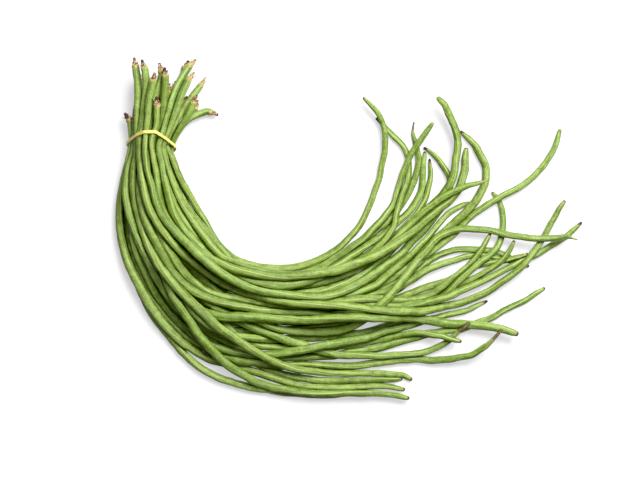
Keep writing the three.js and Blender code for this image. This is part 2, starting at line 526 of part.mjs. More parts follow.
// Points evenly spaced along the smooth line through a bean's plan points, closer at both ends
// where its thickness changes.
function routeOf(bean) {
  const plan = [...bean.stem, slotPoint(bean.slot), ...bean.pod];
  const corners = plan.map(([x, y, level]) => new THREE.Vector3(x, y, level * LEVEL_RISE));
  const line = new THREE.CatmullRomCurve3(corners, false, "centripetal");
  line.arcLengthDivisions = 2000;
  const length = line.getLength();
  const podStart = STUB_STATIONS[STUB_STATIONS.length - 1];
  const podEnd = length - BEAK_STATIONS[0];
  const steps = Math.round((podEnd - podStart) / RING_STEP);
  const stations = [...STUB_STATIONS];
  for (let i = 1; i < steps; i++) {
    stations.push(THREE.MathUtils.lerp(podStart, podEnd, i / steps));
  }
  stations.push(...BEAK_STATIONS.map((distance) => length - distance));
  return { length, stations, points: stations.map((s) => line.getPointAt(s / length)) };
}

function shareAt(shape, distance) {
  const next = shape.findIndex(([from]) => from > distance);
  if (next < 0) return shape[shape.length - 1][1];
  const [from, share] = shape[next - 1];
  const [to, nextShare] = shape[next];
  return THREE.MathUtils.mapLinear(distance, from, to, share, nextShare);
}

function radiiOf(bean, route) {
  const diameter = POD_DIAMETER * bean.girth;
  const beakShape = BEAK_SHAPES[bean.tip ?? "usual"];
  return route.stations.map((s, i) => {
    const share = Math.min(shareAt(STEM_END_SHAPE, s), shareAt(beakShape, route.length - s));
    if (s > TIED_LENGTH) return share * diameter / 2;
    const free = Math.max(0, Math.abs(route.points[i].y) - TIE_REACH);
    return Math.min(share * diameter / 2, TIED_DIAMETER / 2 + TIED_TAPER * free);
  });
}

// ---- Settling ----

// How a springy rod takes a kink out of itself: shares of the other places' values that give the
// value at this place with no change of bend, as [place, share]. The short steps at both ends
// follow the rod on a softer slope.
function rodShares(along, at) {
  const first = END_STEPS;
  const last = along.length - 1 - END_STEPS;
  if (at < first || at > last) {
    const [near, next] = at < first ? [first, first + 1] : [last, last - 1];
    const reach = END_SLOPE * (along[at] - along[near]) / (along[near] - along[next]);
    return [[near, 1 + reach], [next, -reach]];
  }
  let others = [at - 2, at - 1, at + 1, at + 2].filter((i) => i >= first && i <= last);
  if (at === first) others = [first + 1, first + 2];
  if (at === last) others = [last - 1, last - 2];
  return others.map((i) => {
    const share = others.filter((j) => j !== i)
      .reduce((product, j) => product * (along[at] - along[j]) / (along[i] - along[j]), 1);
    return [i, share];
  });
}

function layOut(bean) {
  const route = routeOf(bean);
  const radii = radiiOf(bean, route);
  const home = route.points.map((p, i) => new THREE.Vector3(p.x, p.y, p.z + radii[i]));
  const slot = slotPoint(bean.slot);
  const overBand = (i) => route.stations[i] < TIED_LENGTH && Math.abs(home[i].y - BAND_FOOT) < RING_STEP;
  return {
    home,
    at: home.map((p) => p.clone()),
    radii,
    firmness: route.points.map((p, i) => {
      const toStem = Math.max(0, 1 - route.stations[i] / STEM_REACH);
      const toBeak = Math.max(0, 1 - (route.length - route.stations[i]) / BEAK_REACH);
      return HOLD * (1 + p.z / LEVEL_RISE + END_HOLD * Math.max(toStem, toBeak));
    }),
    raise: route.stations.map((s) => {
      return bean.raised ? RAISED_HOLD * Math.max(0, 1 - (route.length - s) / bean.raised) : 0;
    }),
    shares: route.stations.map((_, i) => rodShares(route.stations, i)),
    lowest: radii.map((radius, i) => overBand(i) ? radius + BAND_LIFT : radius * FACET),
    grip: home.map((p, i) => {
      const near = route.stations[i] < TIED_LENGTH ? 1 - Math.abs(p.y) / TIE_REACH : 0;
      return TIE_HOLD * Math.max(0, near);
    }),
    slot: new THREE.Vector3(slot[0], 0, slot[2] * ROW_RISE + TIED_DIAMETER / 2 + BAND_LIFT),
  };
}

// Closest approach of two straight stretches a0-a1 and b0-b1.
const alongA = new THREE.Vector3();
const alongB = new THREE.Vector3();
const between = new THREE.Vector3();
function nearest(a0, a1, b0, b1) {
  alongA.subVectors(a1, a0);
  alongB.subVectors(b1, b0);
  between.subVectors(a0, b0);
  const aa = alongA.dot(alongA);
  const bb = alongB.dot(alongB);
  const ab = alongA.dot(alongB);
  const ac = alongA.dot(between);
  const bc = alongB.dot(between);
  const spread = aa * bb - ab * ab;
  const clamp = (t) => Math.min(1, Math.max(0, t));
  let s = spread > PARALLEL ? clamp((ab * bc - ac * bb) / spread) : 0.5;
  const t = clamp((ab * s + bc) / bb);
  s = clamp((ab * t - ac) / aa);
  between.addScaledVector(alongA, s).addScaledVector(alongB, -t);
  return { s, t, offset: between };
}

function overlapOf(pair) {
  const { a, i, b, j } = pair;
  const { s, t, offset } = nearest(a.at[i], a.at[i + 1], b.at[j], b.at[j + 1]);
  const reach = THREE.MathUtils.lerp(a.radii[i], a.radii[i + 1], s)
    + THREE.MathUtils.lerp(b.radii[j], b.radii[j + 1], t) + GAP;
  return { s, t, offset, overlap: reach - offset.length() };
}

function findNeighbours(chains) {
  const pairs = [];
  const far = RING_STEP + POD_DIAMETER + NEAR;
  chains.forEach((a, first) => chains.slice(first + 1).forEach((b) => {
    for (let i = 0; i < a.at.length - 1; i++) {
      for (let j = 0; j < b.at.length - 1; j++) {
        if (Math.abs(a.at[i].x - b.at[j].x) > far || Math.abs(a.at[i].y - b.at[j].y) > far) continue;
        const pair = { a, i, b, j };
        if (overlapOf(pair).overlap > -NEAR) pairs.push(pair);
      }
    }
  }));
  return pairs;
}

// Pushes two overlapping stretches apart.
const push = new THREE.Vector3();
function part(pair) {
  const { s, t, offset, overlap } = overlapOf(pair);
  if (overlap <= 0) return 0;
  const { a, i, b, j } = pair;
  push.set(offset.x, offset.y, offset.z || UP_STEP).normalize();
  const weights = [1 - s, s, 1 - t, t];
  const scale = overlap / weights.reduce((sum, w) => sum + w * w, 0);
  a.at[i].addScaledVector(push, scale * weights[0]);
  a.at[i + 1].addScaledVector(push, scale * weights[1]);
  b.at[j].addScaledVector(push, -scale * weights[2]);
  b.at[j + 1].addScaledVector(push, -scale * weights[3]);
  return overlap;
}

function keepOffTable(chain) {
  chain.at.forEach((p, i) => { p.z = Math.max(p.z, chain.lowest[i]); });
}

function straighten(chain) {
  const { at, home, shares } = chain;
  const eased = at.map((p, i) => {
    const target = home[i].clone().setZ(0);
    for (const [other, share] of shares[i]) {
      target.x += share * (at[other].x - home[other].x);
      target.y += share * (at[other].y - home[other].y);
      target.z += share * at[other].z;
    }
    return p.clone().lerp(target, STIFFNESS);
  });
  at.forEach((p, i) => p.copy(eased[i]));
}

function holdPlan(chain) {
  const { at, home, firmness, raise, grip, slot } = chain;
  at.forEach((p, i) => {
    p.x += firmness[i] * (home[i].x - p.x);
    p.y += firmness[i] * (home[i].y - p.y);
    p.z += raise[i] * (home[i].z - p.z);
    p.x += grip[i] * (slot.x - p.x);
    p.z += grip[i] * (slot.z - p.z);
  });
}

function settle(chains) {
  let pairs = [];
  for (const { fall, rounds } of SINKING) {
    for (let round = 0; round < rounds; round++) {
      if (round % ROUNDS_PER_LOOK === 0) pairs = findNeighbours(chains);
      for (const chain of chains) {
        chain.at.forEach((p) => { p.z -= fall; });
        straighten(chain);
        holdPlan(chain);
      }
      pairs.forEach(part);
      chains.forEach(keepOffTable);
    }
  }
  for (let round = 0; round < TIDY_ROUNDS; round++) {
    if (round % ROUNDS_PER_LOOK === 0) pairs = findNeighbours(chains);
    chains.forEach(keepOffTable);
    const worst = pairs.reduce((most, pair) => Math.max(most, part(pair)), 0);
    if (worst < CLEAR_ENOUGH) return;
  }
  throw new Error("the beans don't come clear of each other");
}

// ---- Solids ----

// A tube through closed rings of corners, which run clockwise as seen from the next ring. It is
// closed by flat ends, or comes back round to its first ring.
function closedSolid(rings, isLoop) {
  const sides = rings[0].length;
  const faces = [];
  const links = isLoop ? rings.length : rings.length - 1;
  for (let r = 0; r < links; r++) {
    const here = r * sides;
    const next = ((r + 1) % rings.length) * sides;
    for (let k = 0; k < sides; k++) {
      const turn = (k + 1) % sides;
      faces.push(here + k, next + turn, here + turn, here + k, next + k, next + turn);
    }
  }
  if (!isLoop) {
    const end = links * sides;
    for (let k = 1; k < sides - 1; k++) {
      faces.push(0, k, k + 1, end, end + k + 1, end + k);
    }
  }
  const corners = rings.flat().flatMap((corner) => corner.toArray());
  const geometry = new THREE.BufferGeometry();
  geometry.setAttribute("position", new THREE.Float32BufferAttribute(corners, 3));
  geometry.setIndex(faces);
  geometry.computeVertexNormals();
  return geometry;
}

// Six-sided sections square to the pod, each with one side to the table. Corners that come very
// near the table lie on it.
function podSolid({ at, radii }) {
  const up = new THREE.Vector3(0, 0, 1);
  const rings = at.map((middle, i) => {
    const before = at[Math.max(0, i - 1)];
    const after = at[Math.min(at.length - 1, i + 1)];
    const tangent = new THREE.Vector3().subVectors(after, before).normalize();
    const right = new THREE.Vector3().crossVectors(tangent, up).normalize();
    const top = new THREE.Vector3().crossVectors(right, tangent);
    return Array.from({ length: RING_SIDES }, (_, k) => {
      const angle = k * 2 * Math.PI / RING_SIDES;
      const corner = middle.clone()
        .addScaledVector(right, radii[i] * Math.cos(angle))
        .addScaledVector(top, radii[i] * Math.sin(angle));
      if (corner.z < TABLE_CONTACT) corner.z = 0;
      return corner;
    });
  });
  return closedSolid(rings, false);
}

// Where the band's plane stands, along the bunch, over a point of the section x, z.
function bandPlane(x, z) {
  return BAND_MIDDLE[1] + (x - BAND_MIDDLE[0]) * Math.tan(BAND_TWIST)
    + (z - BAND_MIDDLE[2]) * Math.tan(BAND_LEAN);
}

// How far the beans under the band reach in the direction of an angle, seen along the bunch.
function tiedReach(chains, angle) {
  const across = Math.cos(angle);
  const upright = Math.sin(angle);
  let most = -Infinity;
  for (const { at, radii } of chains) {
    for (let place = 0; place < at.length - 1; place += 1 / LOOKS_PER_STEP) {
      const i = Math.floor(place);
      const middle = at[i].clone().lerp(at[i + 1], place - i);
      const radius = THREE.MathUtils.lerp(radii[i], radii[i + 1], place - i);
      const plane = bandPlane(middle.x + across * radius, middle.z + upright * radius);
      const beside = Math.max(0, Math.abs(middle.y - plane) - BAND_WIDTH / 2);
      if (beside >= radius || Math.abs(middle.x) > BAND_REACH) continue;
      const reach = across * middle.x + upright * middle.z + Math.sqrt(radius ** 2 - beside ** 2);
      most = Math.max(most, reach);
    }
  }
  return most;
}

// A flat ribbon drawn tight around the tied beans: its walls follow the straight lines that the
// beans reach, and stand side by side with them.
function bandSolid(chains) {
  const turn = 2 * Math.PI / BAND_CORNERS;
  const angles = Array.from({ length: BAND_CORNERS }, (_, k) => k * turn);
  const reaches = angles.map((angle) => tiedReach(chains, angle) + BAND_GAP);
  const cornerAt = (k, depth, along) => {
    const angle = angles[k];
    const here = reaches[k] + depth;
    const next = reaches[(k + 1) % BAND_CORNERS] + depth;
    const x = (here * Math.sin(angle + turn) - next * Math.sin(angle)) / Math.sin(turn);
    const z = (next * Math.cos(angle) - here * Math.cos(angle + turn)) / Math.sin(turn);
    return new THREE.Vector3(x, bandPlane(x, z) + along, z);
  };
  const half = BAND_WIDTH / 2;
  const rings = angles.map((_, k) => [
    cornerAt(k, 0, half),
    cornerAt(k, BAND_THICKNESS, half),
    cornerAt(k, BAND_THICKNESS, -half),
    cornerAt(k, 0, -half),
  ]);
  return closedSolid(rings, true);
}

// ---- The bunch ----

function addPiece(bunch, name, geometry, colour) {
  const material = new THREE.MeshStandardMaterial({ color: colour, roughness: 0.55 });
  const mesh = new THREE.Mesh(geometry, material);
  mesh.name = name;
  bunch.add(mesh);
}

const chains = BEANS.map(layOut);
settle(chains);
const bunch = new THREE.Group();
bunch.name = "yardlong_bean_bunch";
chains.forEach((chain, i) => {
  const name = `bean_${String(i + 1).padStart(2, "0")}`;
  addPiece(bunch, name, podSolid(chain), POD_COLOURS[i % POD_COLOURS.length]);
});
addPiece(bunch, "rubber_band", bandSolid(chains), BAND_COLOUR);

// The origin is at the middle of the bunch's box, on the table.
const middle = new THREE.Box3().setFromObject(bunch).getCenter(new THREE.Vector3());
bunch.position.set(-middle.x, -middle.y, 0);

export default bunch;
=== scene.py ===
import math
import random

import bmesh
import bpy
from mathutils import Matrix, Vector, kdtree, noise


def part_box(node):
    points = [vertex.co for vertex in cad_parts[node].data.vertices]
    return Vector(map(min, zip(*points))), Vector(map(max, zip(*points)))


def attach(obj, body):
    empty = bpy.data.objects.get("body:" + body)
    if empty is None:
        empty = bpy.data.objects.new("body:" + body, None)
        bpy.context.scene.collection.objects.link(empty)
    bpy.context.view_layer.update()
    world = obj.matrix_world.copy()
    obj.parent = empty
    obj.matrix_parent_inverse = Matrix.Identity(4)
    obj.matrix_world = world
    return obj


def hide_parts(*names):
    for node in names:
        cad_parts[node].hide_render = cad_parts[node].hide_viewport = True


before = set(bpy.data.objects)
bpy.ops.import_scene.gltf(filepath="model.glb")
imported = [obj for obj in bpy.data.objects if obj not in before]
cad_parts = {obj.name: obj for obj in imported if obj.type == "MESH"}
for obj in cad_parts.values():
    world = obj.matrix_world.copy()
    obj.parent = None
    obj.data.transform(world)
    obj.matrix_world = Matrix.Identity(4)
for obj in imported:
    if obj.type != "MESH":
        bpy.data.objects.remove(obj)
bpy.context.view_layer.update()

# ---- Uneven growth ----

NOISE_SEED = 4            # the noise is seeded, so that every run gives the same shapes
GROWTH_STEP = 1.7         # each pod reads the noise this much further on than the one before
TONE_SEED = 31            # and draws its tone of green from its number times this
# What is uneven in its own way reads the noise in a lane of its own.
DRIFT_LANE = 0
SLANT_LANE = 3
WANDER_LANE = 5
VIGOUR_LANE = 9

noise.seed_set(NOISE_SEED)

# ---- Sizes, in metres. A rate is how many times a metre an uneven value comes and goes ----

BEANS = [f"bean_{number:02d}" for number in range(1, 36)]

MERGE = 1e-6              # corners nearer than this are one
SKIN_STEP = 0.0019        # between the rings of a pod's skin
END_STEP = 0.0008         # the same near its two ends
END_REACH = 0.024         # how far those finer rings run
CAP = 0.0012              # length over which an end rounds off
CAP_RINGS = (0, 0.04, 0.15, 0.35, 0.65, 1)        # where its rings are, as shares of that length
SIDES = 20                # corners round a pod
MANY = 1e5                # more corners than any pod has
FLOOR_GAP = 0.00005       # the lowest pods lie this high

SEED_PITCH = 0.0118       # from seed to seed inside a pod
SEED_DRIFT = 0.9          # how far seeds stray from even places, as a share of the pitch
SEED_DRIFT_RATE = 22
SEED_SWELL = 0.032        # how far a seed swells the pod, as a share of its radius
SEED_VIGOURS = (0.6, 1.3)                         # least and most share of that, from pod to pod
SEED_EVENNESS = 0.6       # share of it that all seeds have, the rest being uneven along the pod
SEED_UNEVENNESS = 1.2
SEED_UNEVEN_RATE = 30
SEED_START = 0.04         # length beyond the stub over which the seeds grow to full size
SEED_END = 0.02           # and length before the beak over which they shrink
OVAL = 0.035              # how far a pod is from round, wider across its seams, as a share of its radius
SEAM_RIDGE = 0.035        # how far the two seams stand out, as a share of the radius
SEAM_SHARPNESS = 12       # higher for narrower seams
LUMPS = 0.07              # uneven growth, as a share of the radius
LUMP_SIZE = 0.009
LUMP_ROUND = 0.8          # how much the lumps differ round the pod
LUMP_STEP = 7             # how much further on each pod's lumps are, in steps of its growth
WANDER = 0.0012           # how far a pod wanders off its smooth line along each axis, at most
WANDER_LENGTH = 0.016
WANDER_END = 0.01         # that wandering ends over this length at the beak
TIGHT_SHARE = 0.35        # share of it left where the pods lie packed
FREE_REACH = 0.20         # a pod is half free this far from its beak, and wholly free at half of it
FREE_GIRTH = 0.10         # how much fuller the skin is where it is free than the solid
TIED_GIRTH = 0.02         # the same near the band
PACKED_GIRTH = 0.12       # and where the pods lie packed beyond it
TIED_REACH = 0.10         # the pods count as tied up to here, and as packed from PACKED_FROM on
PACKED_FROM = 0.17
TWIST_LENGTH = 0.42       # length over which a pod turns round once
PAINTED_SHADE_GAP = 0.0026          # painted shade darkens a skin where another pod is nearer than this
NEAR = 0.0075             # how far from a place on the skin other pods' middles are looked for

STUB = 0.0088             # length of the shrivelled stem stub
SHOULDER = 0.0115         # the pod is full from here on
SHOULDER_SHARE = 0.3      # share of that length over which the stub thins into the pod
STUB_WRINKLE = 0.42       # depth of its wrinkles, as a share of its radius
STUB_FADE = 1.25          # its wrinkles are gone at this many stub lengths from its end
RIDGES = 3                # ridges round the stub
RIDGE_SLANT = 3           # radians that they wind to either side, at most
RIDGE_RATE = 300
DENT_RATE = 520
DENT_ROUND = 1.2          # how much the dents differ round the stub
TEETH = 5                 # dried teeth of the flower's cup round the stub
TOOTH_PLACE = 0.0066      # where they grow, from the stub's end
TOOTH_LENGTH = 0.0046
TOOTH_WIDTH = 0.0022
TOOTH_THICKNESS = 0.00025
TOOTH_ROOT = 0.92         # how far out a tooth is rooted, as a share of the stub's radius
TOOTH_TAPER = 0.85        # share of its width that a tooth loses towards its tip
TOOTH_SHIFT = 0.35        # radians that a tooth may be off its even place
TOOTH_LENGTHS = (0.5, 1.15)                       # least and most share of the length
TOOTH_FLARES = (-0.1, 0.75)                       # and of how far it bends outwards
TOOTH_CURLS = (-0.5, 0.5)                         # and to the side, as shares of the length

BAND_ROUNDING = 0.00032   # of the band's long edges
BAND_UNEVEN = 0.0002
BAND_UNEVEN_RATE = 90
SHARP = 1.0               # edges that turn by more radians than this are rounded
ANY_ANGLE = 3.1           # pairs of triangles are joined whatever their angle

# Beaks: the shape is [(distance from the end, share of the radius 24 mm back)]; black, dry and
# straw are how far the pod is blackened, dried brown and straw yellow from its end.
BEAKS = {
    "plain": {"shape": ((0, 0.44), (0.002, 0.58), (0.005, 0.72), (0.012, 0.90), (0.024, 1)),
              "black": 0.0010, "dry": 0.0022, "straw": 0.004},
    "dark": {"shape": ((0, 0.34), (0.002, 0.46), (0.005, 0.62), (0.012, 0.84), (0.024, 1)),
             "black": 0.0034, "dry": 0.0050, "straw": 0.007},
    "green": {"shape": ((0, 0.46), (0.002, 0.64), (0.005, 0.78), (0.012, 0.92), (0.024, 1)),
              "black": 0, "dry": 0.0006, "straw": 0.002},
    "blunt": {"shape": ((0, 0.48), (0.002, 0.66), (0.005, 0.80), (0.012, 0.92), (0.024, 1)),
              "black": 0.0008, "dry": 0.0024, "straw": 0.004},
    "necked": {"shape": ((0, 0.24), (0.004, 0.28), (0.008, 0.36), (0.011, 0.60), (0.024, 1)),
               "black": 0.0038, "dry": 0.0085, "straw": 0.013},
    "slim": {"shape": ((0, 0.18), (0.003, 0.26), (0.006, 0.40), (0.011, 0.74), (0.024, 1)),
             "black": 0, "dry": 0.0010, "straw": 0.010},
    "dried": {"shape": ((0, 0.50), (0.004, 0.54), (0.012, 0.60), (0.018, 0.74), (0.024, 1)),
              "black": 0.0006, "dry": 0.0150, "straw": 0.023},
}
# Each bean's beak by its number, where it isn't plain.
BEAK_OF = {
    1: "dark", 5: "dark", 7: "blunt", 9: "blunt", 10: "green", 11: "green", 13: "blunt",
    14: "slim", 16: "dark", 18: "blunt", 19: "dark", 20: "dried", 22: "dark", 23: "green",
    24: "slim", 25: "dried", 28: "blunt", 29: "necked", 30: "dark", 31: "blunt", 33: "blunt",
}
# Stem stubs: how far they are black, dried brown and cream from their ends, and their thickness.
STUBS = {
    "brown": {"black": 0.0014, "dry": 0.0072, "straw": 0.0108, "girth": 1.45},
    "dark": {"black": 0.0044, "dry": 0.0082, "straw": 0.0105, "girth": 1.45},
    "pale": {"black": 0, "dry": 0.0034, "straw": 0.0118, "girth": 1.15},
}
# Each bean's stub by its number, where it isn't brown.
STUB_OF = {
    2: "dark", 3: "dark", 5: "dark", 6: "pale", 9: "pale", 10: "dark", 11: "pale", 16: "dark",
    17: "pale", 18: "dark", 29: "dark", 35: "dark",
}

# ---- Colours: linear red, green and blue, with alpha ----

# The first is a cool pod's and the second a warm pod's; each pod lies somewhere between.
GREENS = ((0.060, 0.104, 0.005, 1), (0.074, 0.108, 0.005, 1))
LIGHT_GREENS = ((0.136, 0.208, 0.036, 1), (0.152, 0.212, 0.036, 1))
FIBRE_LIGHT = (0.155, 0.225, 0.045, 1)
FIBRE_DARK = (0.032, 0.060, 0.003, 1)
PORE_DARK = (0.040, 0.070, 0.004, 1)
DAPPLE_DARK = (0.044, 0.078, 0.004, 1)
STREAK_LIGHT = (0.17, 0.24, 0.055, 1)
STREAK_DARK = (0.044, 0.078, 0.003, 1)
HOLLOW_DARK = (0.036, 0.066, 0.004, 1)
SEAM_PALE = (0.22, 0.27, 0.08, 1)
GROOVE_DARK = (0.025, 0.045, 0.003, 1)
# painted shade: near-black colour for the skin where pods touch
PAINTED_SHADE_DARK = (0.010, 0.020, 0.001, 1)
SPECK_BROWN = (0.10, 0.055, 0.015, 1)
BEAK_STRAW = (0.15, 0.165, 0.045, 1)
BEAK_DRIED = ((0.040, 0.028, 0.008, 1), (0.11, 0.085, 0.03, 1))
BEAK_BLACK = (0.014, 0.011, 0.006, 1)
STEM_PEACH = ((0.33, 0.17, 0.075, 1), (0.30, 0.26, 0.09, 1))
STEM_FLECK = (0.13, 0.07, 0.02, 1)
STEM_DRIED = ((0.050, 0.018, 0.008, 1), (0.33, 0.22, 0.12, 1))
STEM_BLACK = (0.026, 0.010, 0.005, 1)
BAND_YELLOWS = ((0.40, 0.32, 0.055, 1), (0.50, 0.43, 0.10, 1))
BAND_DUST = (0.58, 0.53, 0.22, 1)
FLOOR_COLOUR = (0.24, 0.24, 0.243, 1)
WHITE = (1, 1, 1, 1)

# ---- Floor, light and camera ----

FLOOR_SIZE = 6
FLOOR_GLOW = 0.52         # keeps the floor near white in light that suits the pods
WORLD_LIGHT = 0.10
KEY_FROM = Vector((0.62, 0.98, 1.55))             # from the point that the camera is over
KEY_SIZE = 1.2
KEY_POWER = 128
TOP_FROM = Vector((0.2, 0.3, 2.6))                # from the same point
TOP_SIZE = 1.3
TOP_POWER = 30
BLACK_LEVEL = 0.008       # light below this comes out black

CAMERA_OVER = Vector((-0.0297, -0.0113, 0.018))   # the point of the bunch under the camera
CAMERA_HEIGHT = 2.2
VIEW_WIDTH = 0.640        # width of the view at that point
SENSOR = 36.0             # millimetres


# ---- Reading the frame ----

def layers_from(start):
    """Vertices grouped by how many edges away from the start they are."""
    layers = [list(start)]
    seen = set(start)
    while layers[-1]:
        found = []
        for vert in layers[-1]:
            for edge in vert.link_edges:
                other = edge.other_vert(vert)
                if other not in seen:
                    seen.add(other)
                    found.append(other)
        layers.append(found)
    return layers[:-1]


def rings_of(node):
    """The sections of a bean's solid from one end to the other, each a list of its corners."""
    solid = bmesh.new()
    solid.from_mesh(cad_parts[node].data)
    bmesh.ops.remove_doubles(solid, verts=solid.verts, dist=MERGE)
    middle_out = layers_from([next(iter(solid.verts))])
    rings = layers_from(middle_out[-1])
    corners = [[vert.co.copy() for vert in ring] for ring in rings]
    solid.free()
    return corners


def middle_line(node):
    """Middles and radii of a bean's sections, from the stem stub to the beak."""
    rings = rings_of(node)
    middles = [sum(ring, Vector()) / len(ring) for ring in rings]
    radii = [sum((corner - middle).length for corner in ring) / len(ring)
             for ring, middle in zip(rings, middles)]
    low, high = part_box("rubber_band")
    tie = (low + high) / 2
    if (middles[0] - tie).length > (middles[-1] - tie).length:
        middles.reverse()
        radii.reverse()
    return middles, radii


class Line:
    """A smooth line through points, with a radius that changes smoothly along it."""

    def __init__(self, points, radii):
        self.values = [Vector((*point, radius)) for point, radius in zip(points, radii)]
        self.marks = [0.0]
        for before, after in zip(points, points[1:]):
            self.marks.append(self.marks[-1] + (after - before).length)
        self.length = self.marks[-1]
        self.slopes = [self.slope(i) for i in range(len(points))]

    def slope(self, i):
        before = max(0, i - 1)
        after = min(len(self.values) - 1, i + 1)
        return (self.values[after] - self.values[before]) / (self.marks[after] - self.marks[before])

    def at(self, distance):
        """Point and radius at a distance from the start."""
        i = 0
        while i < len(self.marks) - 2 and self.marks[i + 1] < distance:
            i += 1
        span = self.marks[i + 1] - self.marks[i]
        t = min(1.0, max(0.0, (distance - self.marks[i]) / span))
        value = ((1 + 2 * t) * (1 - t) ** 2 * self.values[i]
                 + t * (1 - t) ** 2 * span * self.slopes[i]
                 + t * t * (3 - 2 * t) * self.values[i + 1]
                 + t * t * (t - 1) * span * self.slopes[i + 1])
        return Vector(value[:3]), value[3]


# ---- The pods ----

def ring_marks(length):
    """Distances of the skin's rings from the stem end: close together where it rounds off."""
    ends = [share * CAP for share in CAP_RINGS]
    while ends[-1] < END_REACH:
        ends.append(ends[-1] + END_STEP)
    plain = length - 2 * ends[-1]
    steps = round(plain / SKIN_STEP)
    middle = [ends[-1] + plain * i / steps for i in range(1, steps)]
    return ends + middle + [length - mark for mark in reversed(ends)]


def rounded_end(distance):
    """Share of the radius left at a distance from an end, where it rounds off like a dome."""
    depth = max(0.0, 1 - distance / CAP)
    return math.sqrt(1 - depth * depth)


def along_shape(shape, distance):
    """The value of a shape at a distance, on straight lines between its points."""
    for (start, value), (end, next_value) in zip(shape, shape[1:]):
        if distance <= end:
            return value + (next_value - value) * (distance - start) / (end - start)
    return shape[-1][1]


def swelling(place, angle, to_beak, growth, strength):
    """Radius of the skin as a share of the smooth pod's, with its seeds, oval section and lumps."""
    drift = noise.noise(Vector((place * SEED_DRIFT_RATE, growth, DRIFT_LANE)))
    phase = place / SEED_PITCH + SEED_DRIFT * drift
    vigour = noise.noise(Vector((place * SEED_UNEVEN_RATE, growth, VIGOUR_LANE)))
    seeds = strength * (SEED_EVENNESS + SEED_UNEVENNESS * vigour)
    seeds *= min(1, max(0, place - STUB) / SEED_START, to_beak / SEED_END)
    share = 1 + seeds * math.cos(2 * math.pi * phase)
    share += OVAL * math.cos(2 * angle) + SEAM_RIDGE * math.cos(angle) ** SEAM_SHARPNESS
    lump = Vector((LUMP_ROUND * math.cos(angle), LUMP_ROUND * math.sin(angle),
                   place / LUMP_SIZE + growth * LUMP_STEP))
    return share + LUMPS * noise.noise(lump)


def wrinkle(place, angle, growth):
    """The same for the dry stub: ridges along it and a few dents, gone where the pod begins."""
    dry = min(1, max(0, STUB_FADE - place / STUB))
    slant = RIDGE_SLANT * noise.noise(Vector((place * RIDGE_RATE, growth, SLANT_LANE)))
    ridges = 0.5 * math.cos(RIDGES * angle + slant)
    dent = Vector((DENT_ROUND * math.cos(angle), DENT_ROUND * math.sin(angle), place * DENT_RATE + growth))
    return STUB_WRINKLE * dry * (ridges * 0.5 + noise.noise(dent))


def turned_frames(points):
    """Two sideways directions at each point of a line, turning as little as they can along it."""
    tangents = []
    for i in range(len(points)):
        before = points[max(0, i - 1)]
        after = points[min(len(points) - 1, i + 1)]
        tangents.append((after - before).normalized())
    right = tangents[0].orthogonal().normalized()
    frames = []
    for i, tangent in enumerate(tangents):
        if i:
            right = tangents[i - 1].rotation_difference(tangent) @ right
        right = (right - right.dot(tangent) * tangent).normalized()
        frames.append((right, tangent.cross(right)))
    return frames


def reach_of(distance, reach):
    """How deep inside a finish a place is: 1 at the end of the pod, 0 at its edge, and below."""
    return max(-1.0, 1 - distance / reach) if reach else -1.0


def freedom(to_beak):
    """1 where a pod lies free towards its beak, and 0 where the pods lie packed."""
    return min(1, max(0, 1.5 - to_beak / FREE_REACH))


def wandering(place, to_beak, growth):
    """How far the pod's middle strays from its line, less where the pods are packed."""
    share = TIGHT_SHARE + (1 - TIGHT_SHARE) * freedom(to_beak)
    share *= min(1, to_beak / WANDER_END)
    return noise.noise_vector(Vector((place / WANDER_LENGTH, growth, WANDER_LANE))) * WANDER * share


class Crowd:
    """Where all pods' middles run, to tell how near a pod's skin is to the other pods, for the painted
    shade between them.
    """

    def __init__(self, pods):
        self.places = [(middle, radius, pod.number) for pod in pods
                       for middle, radius in pod.sections]
        self.tree = kdtree.KDTree(len(self.places))
        for i, (middle, radius, number) in enumerate(self.places):
            self.tree.insert(middle, i)
        self.tree.balance()

    def painted_shade_at(self, place, number):
        """How much painted shade a pod's skin gets: 1 where it touches another pod, and 0 where none is
        near.
        """
        gap = PAINTED_SHADE_GAP
        for middle, i, distance in self.tree.find_range(place, NEAR):
            radius, other = self.places[i][1:]
            if other != number:
                gap = min(gap, distance - radius)
        return 1 - max(0, gap) / PAINTED_SHADE_GAP


